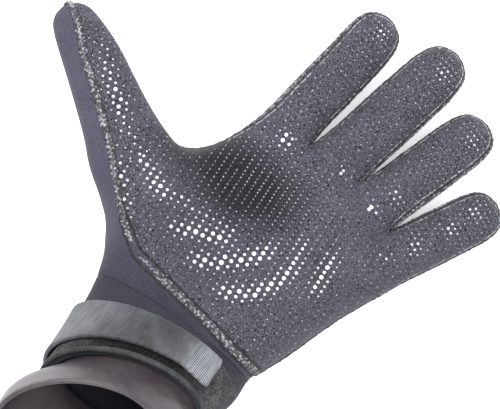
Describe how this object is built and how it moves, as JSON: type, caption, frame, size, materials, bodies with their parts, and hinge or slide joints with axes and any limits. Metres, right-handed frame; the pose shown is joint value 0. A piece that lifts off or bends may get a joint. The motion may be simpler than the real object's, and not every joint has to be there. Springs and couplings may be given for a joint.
{
  "type": "diving glove",
  "caption": "Five-finger neoprene diving glove for the left hand: dotted grip palm, flat sewn seams, hook-and-loop wrist strap and smooth wrist seal, lying palm up.",
  "frame": {"origin": "middle of the glove's outline in plan, on the plane its back rests on", "axes": "+Y from the wrist towards the fingertips, +X from the thumb side to the little finger side, +Z out of the palm"},
  "size_m": [0.2162, 0.2694, 0.0868],
  "materials": {
    "grip_fabric": "knit over neoprene with raised clear rubber dots",
    "jersey": "smooth jersey over neoprene",
    "cuff_jersey": "smooth jersey over neoprene",
    "smooth_skin": "smooth glide-skin neoprene",
    "loop_pile": "brushed loop pile",
    "webbing": "ribbed woven webbing"
  },
  "bodies": {
    "root": {"palm_panel": "grip_fabric", "back_panel": "jersey", "cuff_band": "cuff_jersey", "wrist_seal": "smooth_skin", "loop_patch": "loop_pile", "wrist_strap": "webbing"}
  },
  "joints": []
}
